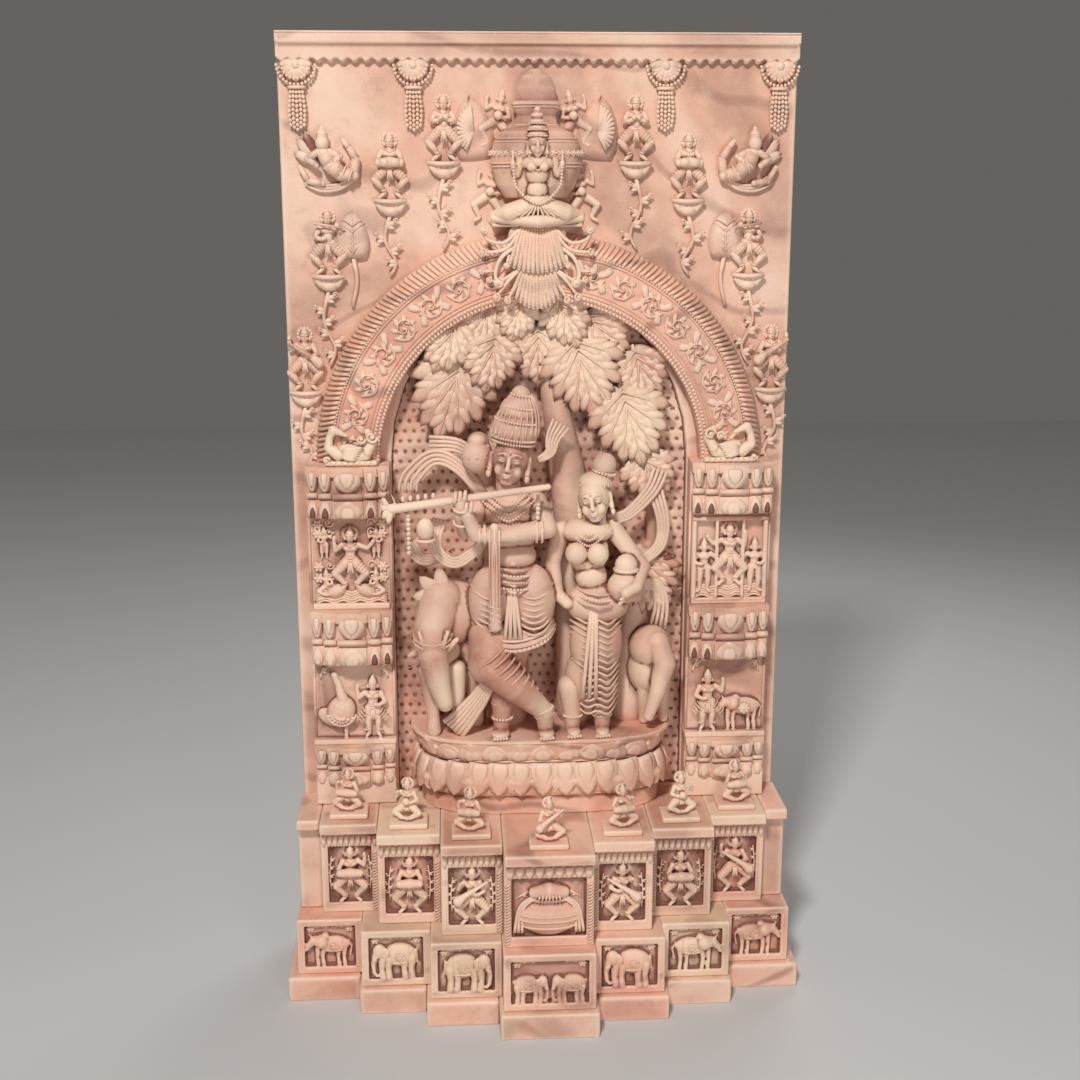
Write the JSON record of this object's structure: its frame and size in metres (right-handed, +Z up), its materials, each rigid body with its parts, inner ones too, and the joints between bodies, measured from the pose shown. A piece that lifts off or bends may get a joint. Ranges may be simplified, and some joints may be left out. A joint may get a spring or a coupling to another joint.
{
  "type": "stone relief panel",
  "caption": "Upright carved stone panel on a stepped base: a flute player and companion stand in a niche under a scrolled arch between figured pillars.",
  "frame": {"origin": "centre of the bounding box in plan, on the underside of the plinth", "axes": "+Z up the panel, +Y towards its flat back, +X to the right as seen from the front"},
  "size_m": [1.0114, 0.44, 1.8363],
  "materials": {
    "rose_stone": "matt pink sandstone, finely tooled",
    "blush_stone": "matt pale pink sandstone, finely tooled",
    "cream_stone": "matt cream sandstone, finely tooled",
    "umber_stone": "matt brown-pink sandstone, finely tooled"
  },
  "bodies": {
    "root": {"back_slab": "blush_stone", "cap_rail": "blush_stone", "arch_ring": "rose_stone", "crest": "blush_stone", "pillar_left": "blush_stone", "pillar_right": "blush_stone", "swan_left": "cream_stone", "swan_right": "cream_stone", "lotus_pedestal": "rose_stone", "main_group": "umber_stone", "end_post_left": "blush_stone", "end_post_right": "blush_stone", "end_coping_left": "rose_stone", "end_coping_right": "rose_stone", "plinth_left_3": "rose_stone", "frieze_left_3": "rose_stone", "panel_left_3": "blush_stone", "coping_left_3": "blush_stone", "musician_left_3": "rose_stone", "plinth_left_2": "blush_stone", "frieze_left_2": "cream_stone", "panel_left_2": "rose_stone", "coping_left_2": "cream_stone", "musician_left_2": "cream_stone", "plinth_left_1": "rose_stone", "frieze_left_1": "cream_stone", "panel_left_1": "cream_stone", "coping_left_1": "blush_stone", "musician_left_1": "blush_stone", "plinth_middle": "blush_stone", "frieze_middle": "rose_stone", "panel_middle": "rose_stone", "coping_middle": "rose_stone", "musician_middle": "rose_stone", "plinth_right_1": "rose_stone", "frieze_right_1": "rose_stone", "panel_right_1": "blush_stone", "coping_right_1": "rose_stone", "musician_right_1": "blush_stone", "plinth_right_2": "blush_stone", "frieze_right_2": "cream_stone", "panel_right_2": "umber_stone", "coping_right_2": "blush_stone", "musician_right_2": "cream_stone", "plinth_right_3": "rose_stone", "frieze_right_3": "rose_stone", "panel_right_3": "rose_stone", "coping_right_3": "cream_stone", "musician_right_3": "blush_stone"}
  },
  "joints": []
}
